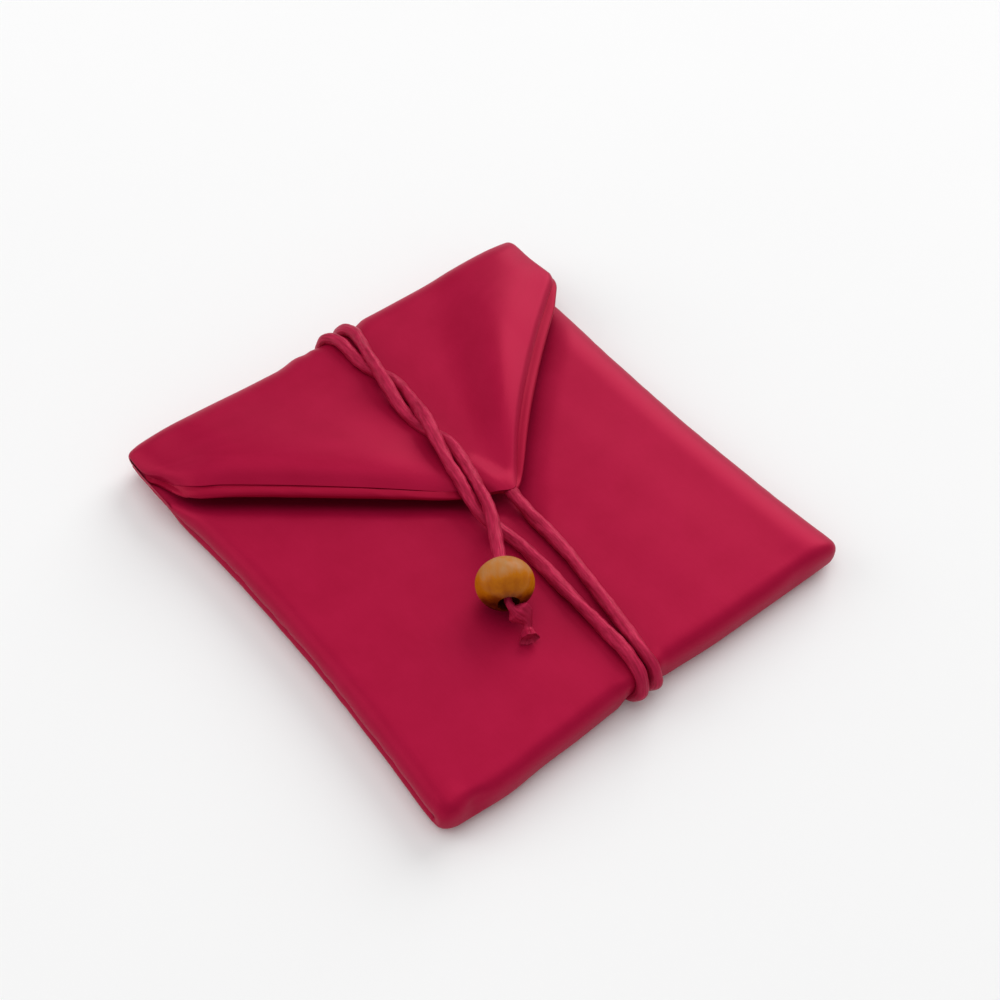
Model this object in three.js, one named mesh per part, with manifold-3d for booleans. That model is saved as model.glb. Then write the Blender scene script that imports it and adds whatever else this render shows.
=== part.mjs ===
// Envelope jewelry pouch, lying closed on its back: a padded satin strip folded into front, back and flap,
// lined, and tied shut by a cord that ends in a bead and a stopper knot.
// Millimetres. +X runs along the top fold, +Y from the bottom fold to the top fold, +Z up.
// The origin is on the ground, under the middle of the pouch.

import * as THREE from 'three';
import { mergeVertices } from 'three/addons/utils/BufferGeometryUtils.js';
import Module from 'manifold-3d';

const wasm = await Module();
wasm.setup();

// Pouch
const WIDTH = 100; // across the side seams, at the bottom fold
const TOP_NARROWING = 1.4; // each side comes in this far towards the top fold
const LENGTH = 105; // bottom fold to top fold
const POCKET_HEIGHT = 4.4; // clear height between the linings
const MOUTH_SETBACK = 11.5; // front panel's free edge, measured from the top fold
const EDGE_ROLL = 9; // width over which the panels roll down to a side seam
const SEAM_HEIGHT = 3.2; // side seam above the ground
const SEAM_WIDTH = 2; // turned-in seam allowance that joins front and back
const SEAM_RELEASE = 10; // below the mouth, the back comes down off the seam over this length
const SIDE_PULL = 1.4; // how far each side is drawn in at mid length
const BOTTOM_CORNER = 4; // corner radius at the bottom fold
const FOLD_CORNER = 2.5; // corner radius at the top fold

// Cloth
const OUTER = 1.1; // satin with its padding
const LINING = 0.6;
const LAYER_GAP = 0.3; // between outer shell and lining
const LINING_INSET = 2.7; // lining stops this far inside each side edge

// Flap
const FLAP_CLEARANCE = 0.5; // above the front panel
const FLAP_TIP_X = 4.6; // the tip hangs a little to one side
const FLAP_TIP_Y = -4.6;
const TIP_ROUND = 2.5;
const LEFT_SHOULDER = 13.5; // straight flap side, measured from the top fold
const RIGHT_SHOULDER = 16.5;
const LEFT_EDGE_POWER = 1; // 1 is a straight edge, less bows the edge inwards
const RIGHT_EDGE_POWER = 0.8;
const FACING_PROUD = 0.8; // lining shows beyond the flap's edge
const FLAP_LIFT = 1.8; // how far the free edges stand up
const FLAP_PRESS = 16; // half width of the strip that the cord holds down
const FLAP_DROOP = 1; // at the sides

// Tie cord, and the channel that it presses into the back
const CORD = 2.6;
const CORD_CLEARANCE = 0.3;
const GROUND_CLEARANCE = 0.15;
const CHANNEL_X = -1;
const CHANNEL_FLAT = 12;
const CHANNEL_SLOPE = 8;
const BOTTOM_PULL = 2.2; // how far the cord draws the bottom fold in
const TOP_PULL = 1.5; // and the top fold
const CORD_SIDES = 8;

// Bead, lying on the front panel with its bore along the cord
const BEAD = 11.4;
const BEAD_LENGTH = 9.8;
const BEAD_BORE = 3.8;
const BEAD_RIM = 0.65; // rounded edge of the bore, each way
const BEAD_X = -13.2;
const BEAD_Y = -23.3;
const BEAD_TURN = THREE.MathUtils.degToRad(-30); // from +Y about +Z, to the cord's way out of the bead
const BEAD_CLEARANCE = 0.3;

// Stopper knot
const KNOT_LENGTH = 4.6;
const KNOT_WIDTH = 6.4;
const KNOT_HEIGHT = 5;
const TAIL = 6.5; // from the knot's middle to the tail's end
const TAIL_DROP = THREE.MathUtils.degToRad(58); // down to the front panel
const TAIL_SWING = THREE.MathUtils.degToRad(73); // aside

// Facets
const ROLL_STEPS = 4;
const PLAIN_STEPS = 3;
const CHANNEL_STEPS = 3;
const FLAP_STEPS = 7;
const FOLD_STEPS = 6;
const BACK_STEPS = 6;
const BOTTOM_STEPS = 6;
const FRONT_STEPS = 4;
const BEAD_SEGMENTS = 28;
const BEAD_ARC_STEPS = 12;
const BEND_STEPS = 4;
const KNOT_SEGMENTS = 14;
const KNOT_RINGS = 10;
const TAIL_END_STEPS = 3;
const SEAM_STEPS = 2;

// Worked out from the above
const HALF_WIDTH = WIDTH / 2;
const TOP_WIDTH = WIDTH - TOP_NARROWING * 2;
const HALF_LENGTH = LENGTH / 2;
const MOUTH_Y = HALF_LENGTH - MOUTH_SETBACK;
const TO_OUTER = LAYER_GAP / 2; // layers are measured from the line midway between them
const WALL_OUT = TO_OUTER + OUTER;
const WALL_IN = TO_OUTER + LINING;
const BACK_LEVEL = WALL_OUT;
const FRONT_LEVEL = BACK_LEVEL + WALL_IN * 2 + POCKET_HEIGHT;
const FRONT_TOP = FRONT_LEVEL + WALL_OUT;
const FLAP_LEVEL = FRONT_TOP + FLAP_CLEARANCE + WALL_IN;
const FLAP_TOP = FLAP_LEVEL + WALL_OUT;
const CHANNEL_DEPTH = CORD + GROUND_CLEARANCE + CORD_CLEARANCE;
const BEAD_Z = FRONT_TOP + BEAD_CLEARANCE + BEAD / 2;

const { lerp, clamp, smoothstep } = THREE.MathUtils;

// A box whose vertices are moved by place(across, along, through), each from 0 to 1
function warpedBox(acrossSteps, alongSteps, place) {
  const geometry = new THREE.BoxGeometry(1, 1, 1, acrossSteps, alongSteps, 1);
  const position = geometry.attributes.position;
  const point = new THREE.Vector3();
  for (let i = 0; i < position.count; i++) {
    point.fromBufferAttribute(position, i).addScalar(0.5);
    position.setXYZ(i, ...place(point.x, point.y, point.z));
  }
  return geometry;
}

function solidOf(geometry) {
  const bare = geometry.clone();
  bare.deleteAttribute('normal');
  bare.deleteAttribute('uv');
  const merged = mergeVertices(bare);
  return new wasm.Manifold(new wasm.Mesh({
    numProp: 3,
    vertProperties: new Float32Array(merged.attributes.position.array),
    triVerts: new Uint32Array(merged.index.array),
  }));
}

function geometryOf(solid) {
  const mesh = solid.getMesh();
  const geometry = new THREE.BufferGeometry();
  geometry.setAttribute('position', new THREE.BufferAttribute(mesh.vertProperties, 3));
  geometry.setIndex(new THREE.BufferAttribute(mesh.triVerts, 1));
  geometry.computeVertexNormals();
  return geometry;
}

function joined(first, ...others) {
  return geometryOf(others.reduce((whole, other) => whole.add(solidOf(other)), solidOf(first)));
}

// How the panels rise from a side seam: 0 at the seam, 1 past the roll
function rollRise(x) {
  const short = 1 - Math.min(HALF_WIDTH - Math.abs(x), EDGE_ROLL) / EDGE_ROLL;
  return Math.sqrt(1 - short * short);
}

// How far the cord's channel reaches up: 1 over its flat, 0 beyond its slopes
function channelRise(x) {
  return 1 - smoothstep(Math.abs(x - CHANNEL_X) - CHANNEL_FLAT / 2, 0, CHANNEL_SLOPE);
}

// How far a rounded corner takes an end edge in at x
function cornerInset(x, radius) {
  const along = clamp((Math.abs(x) - HALF_WIDTH) / radius + 1, 0, 1);
  return radius * (1 - Math.sqrt(1 - along * along));
}

// Heights of the line midway between outer shell and lining
function frontLevel(x) {
  return lerp(SEAM_HEIGHT + TO_OUTER, FRONT_LEVEL, rollRise(x));
}

function backLevel(x, y) {
  const flat = Math.max(rollRise(x), smoothstep(y, MOUTH_Y - SEAM_RELEASE, MOUTH_Y));
  return lerp(SEAM_HEIGHT - TO_OUTER, BACK_LEVEL, flat) + CHANNEL_DEPTH * channelRise(x);
}

function flapLevel(x, toFold) {
  const free = 1 - Math.exp(-(((x - FLAP_TIP_X) / FLAP_PRESS) ** 2));
  const lift = FLAP_LIFT * free * (1 - (x / HALF_WIDTH) ** 4) * (1 - toFold) ** 2;
  return FLAP_LEVEL + lift - FLAP_DROOP * (1 - rollRise(x));
}

// The flap's edge: a straight side down to a shoulder, then a run to the tip
function flapEdge(x) {
  const right = x > FLAP_TIP_X;
  const shoulder = HALF_LENGTH - (right ? RIGHT_SHOULDER : LEFT_SHOULDER);
  const power = right ? RIGHT_EDGE_POWER : LEFT_EDGE_POWER;
  const reach = Math.hypot(HALF_WIDTH - FLAP_TIP_X * (right ? 1 : -1), TIP_ROUND) - TIP_ROUND;
  const out = (Math.hypot(x - FLAP_TIP_X, TIP_ROUND) - TIP_ROUND) / reach;
  return lerp(FLAP_TIP_Y, shoulder, Math.min(out, 1) ** power);
}

// The two round folds, as half circles that join the panels at x
function bottomFold(x) {
  const back = backLevel(x, -HALF_LENGTH);
  const radius = (frontLevel(x) - back) / 2;
  const inset = WALL_OUT + radius + cornerInset(x, BOTTOM_CORNER) + BOTTOM_PULL * channelRise(x);
  return { radius, y: -HALF_LENGTH + inset, z: back + radius };
}

function topFold(x) {
  const back = backLevel(x, HALF_LENGTH);
  const radius = (flapLevel(x, 1) - back) / 2;
  const inset = WALL_OUT + radius + cornerInset(x, FOLD_CORNER) + TOP_PULL * channelRise(x);
  return { radius, y: HALF_LENGTH - inset, z: back + radius };
}

// A point on the folded strip, by its stretch and how far along it, with the outward direction there
const STRETCHES = [
  { name: 'flap', steps: FLAP_STEPS },
  { name: 'fold', steps: FOLD_STEPS },
  { name: 'back', steps: BACK_STEPS },
  { name: 'bottom', steps: BOTTOM_STEPS },
  { name: 'front', steps: FRONT_STEPS },
];
const STRIP_STEPS = STRETCHES.reduce((sum, stretch) => sum + stretch.steps, 0);

function stripPoint(stretch, t, x, edgeBeyond) {
  const bottom = bottomFold(x);
  const top = topFold(x);
  const turn = Math.PI * t;
  switch (stretch) {
    case 'flap':
      return { y: lerp(flapEdge(x) - edgeBeyond, top.y, t), z: flapLevel(x, t), outY: 0, outZ: 1 };
    case 'fold':
      return roundPoint(top, Math.sin(turn), Math.cos(turn));
    case 'back': {
      const y = lerp(top.y, bottom.y, t);
      return { y, z: backLevel(x, y), outY: 0, outZ: -1 };
    }
    case 'bottom':
      return roundPoint(bottom, -Math.sin(turn), -Math.cos(turn));
    default:
      return { y: lerp(bottom.y, MOUTH_Y, t), z: frontLevel(x), outY: 0, outZ: 1 };
  }
}

function roundPoint(fold, outY, outZ) {
  return { y: fold.y + fold.radius * outY, z: fold.z + fold.radius * outZ, outY, outZ };
}

// Where the strip is cut across its width: close together on the rolls and in the channel
function acrossStations() {
  const side = [];
  for (let i = 0; i < ROLL_STEPS; i++) {
    side.push(HALF_WIDTH - EDGE_ROLL * (1 - Math.cos((i * Math.PI) / 2 / ROLL_STEPS)));
  }
  const rollEnd = HALF_WIDTH - EDGE_ROLL;
  const channelEdge = CHANNEL_FLAT / 2 + CHANNEL_SLOPE;
  for (let i = 0; i < PLAIN_STEPS; i++) {
    side.push(lerp(rollEnd, channelEdge, i / PLAIN_STEPS));
  }
  for (let i = 0; i < CHANNEL_STEPS; i++) {
    side.push(lerp(channelEdge, CHANNEL_FLAT / 2, i / (CHANNEL_STEPS - 1)));
  }
  return [...side.map((x) => -x), CHANNEL_X, ...side.toReversed()];
}

const STATIONS = acrossStations();

// One layer of the folded strip, between two distances out from its middle line
function stripLayer({ inner, outer, bodyInset, edgeBeyond }) {
  return warpedBox(STATIONS.length - 1, STRIP_STEPS, (across, along, through) => {
    let step = Math.round(along * STRIP_STEPS);
    let index = 0;
    while (step > STRETCHES[index].steps) {
      step -= STRETCHES[index].steps;
      index += 1;
    }
    const { name, steps } = STRETCHES[index];
    const t = step / steps;
    const inset = { flap: 0, fold: bodyInset * t }[name] ?? bodyInset;
    const x = STATIONS[Math.round(across * (STATIONS.length - 1))] * (1 - inset / HALF_WIDTH);
    const point = stripPoint(name, t, x, edgeBeyond);
    const out = lerp(inner, outer, through);
    const y = point.y + point.outY * out;
    const taper = name === 'flap' ? TOP_WIDTH / WIDTH : sideTaper(y);
    return [x * taper, y, point.z + point.outZ * out];
  });
}

// The body narrows towards the top fold, and its sides are drawn in between the corners
function sideTaper(y) {
  const width = lerp(WIDTH, TOP_WIDTH, (y + HALF_LENGTH) / LENGTH);
  const drawnIn = SIDE_PULL * (1 - (y / HALF_LENGTH) ** 2);
  return (width - 2 * drawnIn) / WIDTH;
}

// A seam along one side: it fills the roll between the front and back of one layer
function sideSeam(side, { edge, lap }) {
  const ends = [side * edge, side * (edge - SEAM_WIDTH)].sort((a, b) => a - b);
  return warpedBox(SEAM_STEPS, BACK_STEPS, (across, along, through) => {
    const x = lerp(ends[0], ends[1], across);
    const bottom = bottomFold(x);
    const y = lerp(bottom.y - bottom.radius / 2, MOUTH_Y - SEAM_WIDTH, along);
    const z = lerp(backLevel(x, y) - lap, frontLevel(x) + lap, through);
    return [x * sideTaper(y), y, z];
  });
}

function outerShell() {
  const strip = stripLayer({ inner: TO_OUTER, outer: WALL_OUT, bodyInset: 0, edgeBeyond: 0 });
  const seam = { edge: HALF_WIDTH - TO_OUTER, lap: TO_OUTER + OUTER / 2 };
  return joined(strip, sideSeam(-1, seam), sideSeam(1, seam));
}

function lining() {
  const strip = stripLayer({
    inner: -WALL_IN, outer: -TO_OUTER, bodyInset: LINING_INSET, edgeBeyond: FACING_PROUD,
  });
  const seam = { edge: HALF_WIDTH - LINING_INSET - TO_OUTER, lap: -TO_OUTER - LINING / 2 };
  return joined(strip, sideSeam(-1, seam), sideSeam(1, seam));
}

// A route whose rings stand at its own points, so that bends keep their shape
class CordRoute extends THREE.CatmullRomCurve3 {
  getPointAt(t, target) {
    return this.getPoint(t, target);
  }

  getTangentAt(t, target) {
    return this.getTangent(t, target);
  }
}

// Points round a fold from one panel to the other, drifting from x to toX
function roundFold(x, toX, centreY, reach, low, high, upwards) {
  const points = [];
  for (let i = 0; i <= BEND_STEPS; i++) {
    const turn = (upwards ? BEND_STEPS - i : i) * (Math.PI / BEND_STEPS);
    const z = (low + high) / 2 + ((high - low) / 2) * Math.cos(turn);
    points.push([lerp(x, toX, i / BEND_STEPS), centreY + reach * Math.sin(turn), z]);
  }
  return points;
}

// The cord's route, from the flap's tip to the bead
function cordRoute() {
  const lift = CORD_CLEARANCE + CORD / 2;
  const onFront = FRONT_TOP + lift;
  const onFlap = FLAP_TOP + lift;
  const over = onFlap + CORD + CORD_CLEARANCE;
  const under = GROUND_CLEARANCE + CORD / 2;
  const bottom = bottomFold(CHANNEL_X);
  const top = topFold(CHANNEL_X);
  const bendRoom = lift + CORD_CLEARANCE / 2;
  const bottomReach = -(bottom.radius + WALL_OUT + bendRoom);
  const topReach = top.radius + WALL_OUT + bendRoom;
  const alongBore = (distance) => [
    BEAD_X - Math.sin(BEAD_TURN) * distance,
    BEAD_Y + Math.cos(BEAD_TURN) * distance,
    BEAD_Z,
  ];
  const start = FLAP_TIP_Y - FACING_PROUD - CORD_CLEARANCE;
  return [
    [3.9, start, onFront + 0.1],
    [3.4, -11, onFront],
    [3.2, -22, onFront],
    [2.6, -32, onFront],
    [1.7, -41, onFront],
    ...roundFold(0.6, -0.7, bottom.y, bottomReach, under, onFront, false),
    [-0.5, -36, under],
    [0.2, -18, under],
    [0.9, 2, under],
    [1.7, 24, under],
    ...roundFold(2.5, 2.8, top.y, topReach, under, onFlap, true),
    [2.5, 42, onFlap + 0.9],
    [1.3, 37, over],
    [0.1, 32.5, over - 0.2],
    [-0.8, 28, onFlap + 0.8],
    [-1.1, 24.5, onFlap + 0.1],
    [-1.4, 20.5, onFlap],
    [-0.6, 16, onFlap],
    [0.4, 12, onFlap],
    [0.8, 8, onFlap],
    [0.6, 4, onFlap + 0.1],
    [-0.3, -0.5, onFlap + 0.2],
    [-1.8, -6, onFlap - 0.9],
    [-2.5, -11.5, onFront + 0.2],
    [-2.6, -20, onFront],
    [-2.8, -29, onFront],
    [-2.6, -38, onFront],
    ...roundFold(-2.7, -3.9, bottom.y, bottomReach, under, onFront, false),
    [-4, -30, under],
    [-4.2, -10, under],
    [-4.2, 10, under],
    [-4.2, 30, under],
    ...roundFold(-4.1, -1.9, top.y, topReach, under, onFlap, true),
    [-0.8, 42.5, onFlap],
    [0, 38, onFlap],
    [1.3, 33.5, onFlap],
    [2.3, 29.5, onFlap],
    [2.3, 25.5, onFlap + 0.5],
    [1.3, 21.5, over - 0.2],
    [-0.5, 16.5, over],
    [-1.9, 12, over - 0.8],
    [-2.7, 8, onFlap + 0.7],
    [-3.3, 3.5, onFlap + 0.5],
    [-3.8, -1.5, onFlap + 0.9],
    alongBore(17.5),
    alongBore(13),
    alongBore(6.5),
    alongBore(0),
    alongBore(-BEAD_LENGTH / 2),
  ].map(([x, y, z]) => new THREE.Vector3(x, y, z));
}

function tieCord() {
  const points = cordRoute();
  const section = new THREE.Shape();
  for (let i = 0; i < CORD_SIDES; i++) {
    const angle = ((i + 0.5) * 2 * Math.PI) / CORD_SIDES;
    section[i ? 'lineTo' : 'moveTo']((CORD / 2) * Math.cos(angle), (CORD / 2) * Math.sin(angle));
  }
  section.closePath();
  return new THREE.ExtrudeGeometry(section, {
    steps: points.length - 1,
    extrudePath: new CordRoute(points, false, 'centripetal'),
  });
}

// Turned bead with its bore along Y: a barrel arc closed by the bore
function bead() {
  const bore = BEAD_BORE / 2;
  const half = BEAD_LENGTH / 2;
  const crown = BEAD / 2;
  const profile = [];
  const faceAngle = Math.acos((bore + BEAD_RIM) / crown);
  for (let i = 0; i <= BEAD_ARC_STEPS; i++) {
    const angle = lerp(-faceAngle, faceAngle, i / BEAD_ARC_STEPS);
    const height = (half * Math.sin(angle)) / Math.sin(faceAngle);
    profile.push(new THREE.Vector2(crown * Math.cos(angle), height));
  }
  profile.push(new THREE.Vector2(bore, half - BEAD_RIM));
  profile.push(new THREE.Vector2(bore, BEAD_RIM - half));
  profile.push(profile[0].clone());
  return new THREE.LatheGeometry(profile, BEAD_SEGMENTS);
}

// Knot with the bore's axis along Y, its top at the origin and its tail slanting down
function stopperKnot() {
  const middle = -KNOT_LENGTH / 2;
  const tailRun = TAIL - CORD / 2;
  const lump = new THREE.SphereGeometry(0.5, KNOT_SEGMENTS, KNOT_RINGS);
  lump.scale(KNOT_WIDTH, KNOT_LENGTH, KNOT_HEIGHT).translate(0, middle, 0);
  const tail = new THREE.CapsuleGeometry(CORD / 2, tailRun, TAIL_END_STEPS, CORD_SIDES);
  tail.translate(0, -tailRun / 2, 0);
  tail.rotateX(TAIL_DROP).rotateZ(TAIL_SWING).translate(0, middle, 0);
  return joined(lump, tail);
}

function piece(name, geometry, color, roughness) {
  const material = new THREE.MeshStandardMaterial({ color, roughness, metalness: 0 });
  const mesh = new THREE.Mesh(geometry, material);
  mesh.name = name;
  return mesh;
}

const SATIN = 0xa81b3e;
const SATIN_INSIDE = 0x951435;
const CORD_RED = 0xb02a50;
const AMBER_WOOD = 0x96560f;

const pouch = new THREE.Group();
pouch.add(piece('outer_shell', outerShell(), SATIN, 0.45));
pouch.add(piece('lining', lining(), SATIN_INSIDE, 0.5));
pouch.add(piece('tie_cord', tieCord(), CORD_RED, 0.4));

const beadGroup = new THREE.Group();
beadGroup.position.set(BEAD_X, BEAD_Y, BEAD_Z);
beadGroup.rotation.z = BEAD_TURN;
beadGroup.add(piece('bead', bead(), AMBER_WOOD, 0.25));
const knot = piece('stopper_knot', stopperKnot(), CORD_RED, 0.4);
knot.position.y = -BEAD_LENGTH / 2 - BEAD_CLEARANCE;
beadGroup.add(knot);
pouch.add(beadGroup);

export default pouch;
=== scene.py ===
import math

import bpy
import numpy as np
from mathutils import Matrix, Vector


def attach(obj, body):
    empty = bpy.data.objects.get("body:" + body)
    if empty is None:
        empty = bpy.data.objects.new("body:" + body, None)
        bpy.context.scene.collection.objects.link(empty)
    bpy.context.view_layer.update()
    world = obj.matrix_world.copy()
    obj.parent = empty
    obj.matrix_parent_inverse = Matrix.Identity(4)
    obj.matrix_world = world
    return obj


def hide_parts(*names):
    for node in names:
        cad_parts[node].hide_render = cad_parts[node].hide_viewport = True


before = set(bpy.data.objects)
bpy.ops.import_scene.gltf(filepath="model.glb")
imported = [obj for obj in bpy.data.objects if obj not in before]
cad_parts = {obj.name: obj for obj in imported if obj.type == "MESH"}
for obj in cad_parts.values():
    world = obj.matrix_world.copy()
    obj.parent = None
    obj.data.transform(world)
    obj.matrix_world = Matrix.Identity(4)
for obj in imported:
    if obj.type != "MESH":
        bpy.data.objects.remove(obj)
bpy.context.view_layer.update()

# Sizes are in millimetres, in the CAD model's frame: x across, y towards the fold, z up
MM = 0.001

# Camera, fitted to the photograph: angles in degrees, place along its own axes
CAMERA_AZIMUTH = -42.53
CAMERA_ELEVATION = 51.944
CAMERA_ROLL = 4.273
CAMERA_ACROSS = 4.227
CAMERA_UPRIGHT = 3.459
CAMERA_BACK = 347.431
CAMERA_LENS = 61.92
CAMERA_SENSOR = 36

# Pouch body
HALF_WIDTH = 50.0
HALF_LENGTH = 52.5
FRONT_TOP = 8.5
FLAP_TOP = 11.1
WALL = 1.25
LAYER_GAP = 0.1

# How far a deeper layer lies in from the sides and the seams, and above the seams, for each unit of depth
SIDE_INSET = 1.3
SEAM_INSET = 2.1
SEAM_RISE = 0.4

# Folds, corners and mouth
BOTTOM_CORNER = 4.0
FOLD_CORNER = 1.0
BOTTOM_SQUARENESS = 0.72
MOUTH_Y = 41.0
MOUTH_SIDE_RISE = 8.5

# Sides: drawn in between the corners, rolled to a sewn seam, loose near the mouth
LEFT_PULL = 2.2
RIGHT_PULL = 2.9
LEFT_INSET = 0.25
LEFT_SWELL = 0.8
LEFT_SWELL_Y = 38.0
LEFT_SWELL_WIDTH = 8.0
LEFT_HOLLOW_Y = -2.0
LEFT_HOLLOW_HALF = 46.0
RIGHT_HOLLOW_Y = 6.0
RIGHT_HOLLOW_HALF = 57.0
LEFT_ROLL = 3.6
RIGHT_ROLL = 9.0
ROLL_EASE = 0.8
LEFT_SEAM = math.radians(125)
RIGHT_SEAM = math.radians(100)
SEAM_TUCK = 2.8
SEAM_HEIGHT = 3.2
SEAM_RELEASE = 16.0
LEFT_SEAM_LIFT = 2.7
RIGHT_SEAM_LIFT = 0.8
SEAM_LIFT_LOSS = 0.55
PUCKER = 0.1

# Spans over which one form passes into the next, in y
RIGHT_HOLLOW_ENDS = (34.0, 49.0)
FLAP_PULL_ENDS = (35.0, 50.0)
FLAP_JOINS_SIDE = (40.0, 49.0)
FACING_ENDS = (42.0, 48.5)
SEAM_JOINS_FOLD = (43.0, 49.0)
SEAM_LIFTS = (27.0, 40.0)
SEAM_SETTLES = (41.0, 47.0)
LEFT_END_DROPS = (30.0, 47.0)
RIGHT_END_DROPS = (34.0, 46.0)

# The same in x, outwards from the middle
MOUTH_RISES = (42.0, 49.0)
SLACK_STARTS = (5.0, 15.0)
SLACK_ENDS = (36.0, 47.0)
LEFT_END = (35.5, 48.0)
RIGHT_END = (40.0, 51.0)

# What the tied cord does to the pouch: a channel under it, and both folds drawn in
CHANNEL_X = -1.9
CHANNEL_LEAN = 0.012
CHANNEL_FLAT = 7.6
CHANNEL_SLOPE = 2.4
CHANNEL_DEPTH = 3.05
CORDS_HALF_WIDTH = 3.0
BOTTOM_PULL = 0.7
BOTTOM_PULL_X = -2.4
BOTTOM_PULL_REACH = 20.0
TOP_PULL = 2.0
TOP_PULL_X = -0.4
TOP_PULL_REACH = 10.0
TOP_SLACK = 1.6

# Soft forms of the bottom wall near its corners: place across, width and depth
BOTTOM_DENTS = ((-43, 2.3, 1.0), (-36, 2.8, 0.15), (38, 4, 0.4))
BOTTOM_BULGE_X = -36.0
BOTTOM_BULGE_WIDTH = 7.0
BOTTOM_BULGE = 0.7

# Fuller places of the front: middle and width across, middle and width along, and height
FRONT_CROWNS = (((-26, 16), (-20, 24), 0.1), ((27, 15), (-18, 24), 0.25))

# How far the front sinks under the flap, left and right, over a span in y from the flap's edge
SINKS = (2.2, 2.3)
SINK_STARTS = (-7.0, -11.0)
SINK_ENDS = 3.0
DENTS_REACH_FRONT = (44.0, 50.0)
FRONT_DENT_SHARE = 0.35

# Flap: its outline, and how it droops at its sides and at the ends of the fold
FLAP_TIP = (4.6, -4.6)
TIP_ROUND = 2.5
SHOULDER_LEFT = 17.6
SHOULDER_RIGHT = 16.5
LEFT_ROUND = 4.0
RIGHT_ROUND = 2.5
FLAP_INSET = 0.2
FLAP_LEFT_PULL = 3.0
FLAP_ROLL = 3.6
FLAP_DROOP = 0.9
FLAP_SLANT = 0.77
RIGHT_BOW = 0.8
LEFT_END_DROP = 3.7
RIGHT_END_DROP = 1.0

# How the flap stands off the front: its left half, the crest of its right half, and the crease by its tip
LEFT_LIFT = 3.5
LEFT_LIFT_REACH = 20.0
LEFT_TIP_REACH = 18.0
LEFT_EDGE_REACH = 4.0
LEFT_EDGE_LOSS = 0.42
LEFT_SHOULDER_LOSS = 0.55
RIGHT_LIFT = 3.2
RIGHT_TIP_REACH = 10.0
CREST_X = 8.0
CREST_OFF = 3.0
CREST_LEAN = 0.25
CREST_RANGE = (2.5, 8.5)
CREST_FRONT = 1.05
CREST_BACK = 4.0
CREST_BACK_LEAN = 0.22
CREST_BACK_RANGE = (5.0, 11.0)
CREASE = (3.9, 5.8)
CREASE_WAY = (-0.924, -0.382)
FACET_SLOPE = 0.23
FACET_FROM_LEFT = (-1.5, 2.5)
FACET_FROM_TOP = (-8.0, -6.5)

# Facing: how far it stands out past the flap's edge and sides
FACING_PROUD = 2.2
FACING_LEFT = 1.2
FACING_RIGHT = 0.3
FACING_SIDES = (2.0, 9.0)
FACING_RIGHT_GAIN = 1.05
FACING_TUCK_X = 1.5
FACING_TUCK_WIDTH = 6.0
FACING_TUCK = 1.15
FACING_SHOULDER = (42.0, 50.0)
FACING_SHOULDER_LOSS = 0.6

# Free edges: the span in x where left passes into right, then values for the left and the right
EDGE_SIDES = (2.0, 10.0)
SHELL_EDGE_WIDTHS = (3.4, 1.5)
SHELL_EDGE_DROPS = (1.1, 0.85)
SHELL_EDGE_CURVE = 1.9
LINING_EDGE_WIDTHS = (2.3, 1.3)
LINING_EDGE_DROP = 0.45
LINING_EDGE_THINNING = 0.7
NO_EDGE = 99.0

# Walls of the layers: the shell thins towards the seams, the lining has a loft under the lifted flap
FLAP_EASE = 0.02
POCKET_EASE = 0.15
SEAM_WALL = 0.2
SEAM_THINS = (0.0, 0.35)
LINING_WALL = 0.65
LINING_LOFT = 2.5

# Raised band of the lining along the flap's left edge: its spans from the edge and in x, and its wrinkles
LINING_BAND = 0.6
BAND_WIDTH = (1.35, 1.85)
BAND_FROM_LEFT = (-48.0, -40.0)
BAND_TO_RIGHT = (-6.0, 2.0)
WRINKLE = 0.07
WRINKLES_ACROSS = (-22.0, 14.0)
WRINKLES_FROM_EDGE = (1.0, 1.2)

# Rows of the cloth grids: distances of the first ones from the flap's edge, then rows in each stretch
EDGE_ROWS = (0, 0.12, 0.28, 0.48, 0.72, 1.0, 1.35, 1.8, 2.4, 3.2, 4.2, 5.4)
SHELL_ROWS = {"flap": 70, "fold": 26, "back": 36, "bottom": 28, "front": 70}
LINING_ROWS = {"flap": 60, "fold": 20, "back": 24, "bottom": 16, "front": 24}
SHELL_FREE_BACK_ROWS = 4
LINING_FREE_BACK_ROWS = 3
SEWN_ROWS = 10
MIDDLE_COLUMNS = 120
SHELL_ROLL_COLUMNS = 26
LINING_ROLL_COLUMNS = 16

# Cord: its thickness, the heights of its middle, and its loops as a middle in y and a reach
CORD = 2.6
CORD_ON_FRONT = 10.0
CORD_ON_FLAP = 12.4
CORD_UNDER = 1.46
BOTTOM_LOOP = (-47.6, -5.2)
TOP_LOOP = (46.6, 4.5)
CROSSING_Y = 2.0
CROSSING_REACH = 7.0
CROSSING_DROP = 0.6
CROSSING_SQUASH = 0.45
TIP_SQUASH_AT = 7.0
TIP_SQUASH_REACH = 5.0
TIP_SQUASH = 0.2
CORD_END_TAPER = 4.0
CORD_END_NARROWING = 0.48

# Bead and knot
BEAD = Vector((-13.2, -23.3, 14.4))
BORE_WAY = Vector((math.sin(math.radians(30)), math.cos(math.radians(30)), 0))
BEAD_LENGTH = 9.3
BEAD_WIDTH = 11.2
BEAD_BORE = 3.0
BEAD_RIM = 0.35
CORD_END_IN_BEAD = 1.6
KNOT_NECK = 0.8
FAN_OPENS = (2.9, 4.4)
FAN_CLOSES = 4.6
FAN_WIDE = 1.7
FAN_THICK = 0.5
TAIL_LENGTH = 2.7
TAIL_WIDE = 1.15
TAIL_THICK = 0.55
TAIL_RIM = 0.4
TAIL_HOLLOW = 0.7

# One unit of a cloth's UV map
UV_UNIT = 10.0


def smoothstep(value, low, high):
    t = np.clip((value - low) / (high - low), 0, 1)
    return t * t * (3 - 2 * t)


def lerp(a, b, t):
    return a + (b - a) * t


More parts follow.
